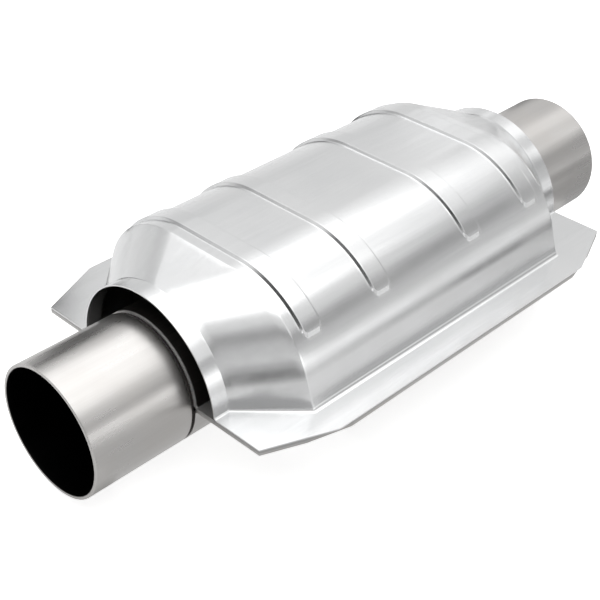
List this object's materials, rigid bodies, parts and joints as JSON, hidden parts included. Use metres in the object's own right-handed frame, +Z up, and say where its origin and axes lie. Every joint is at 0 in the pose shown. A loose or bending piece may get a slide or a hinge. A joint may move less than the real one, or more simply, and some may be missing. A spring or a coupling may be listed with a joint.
{
  "type": "catalytic converter",
  "caption": "Clamshell exhaust catalytic converter with straight stub pipes, a wide welded flange and a bright ribbed heat shield over the top.",
  "frame": {"origin": "middle of the flat underside of the body, under the middle of the pipe axis", "axes": "+X along the pipes from the inlet stub to the outlet stub, +Y across the flange, +Z up through the heat shield"},
  "size_m": [0.345, 0.1704, 0.0933],
  "materials": {
    "pipe_steel": "fine brushed stainless steel tube, warm grey",
    "weld_metal": "dark heat-tinted weld bead",
    "shell_steel": "pressed stainless sheet, satin grey",
    "shield_steel": "bright rolled sheet, close to a mirror",
    "brick_ceramic": "matte extruded ceramic with a coated surface",
    "mat_fibre": "matte ceramic fibre mat",
    "seal_wire": "knitted stainless wire, pressed",
    "ring_steel": "plain pressed sheet, satin"
  },
  "bodies": {
    "root": {"inlet_pipe": "pipe_steel", "outlet_pipe": "pipe_steel", "inlet_weld": "weld_metal", "outlet_weld": "weld_metal", "upper_shell": "shell_steel", "lower_shell": "shell_steel", "heat_shield": "shield_steel", "front_brick": "brick_ceramic", "rear_brick": "brick_ceramic", "front_mat": "mat_fibre", "rear_mat": "mat_fibre", "front_inlet_seal": "seal_wire", "front_outlet_seal": "seal_wire", "rear_inlet_seal": "seal_wire", "rear_outlet_seal": "seal_wire", "inlet_retainer": "ring_steel", "outlet_retainer": "ring_steel", "separator_band": "ring_steel"}
  },
  "joints": []
}
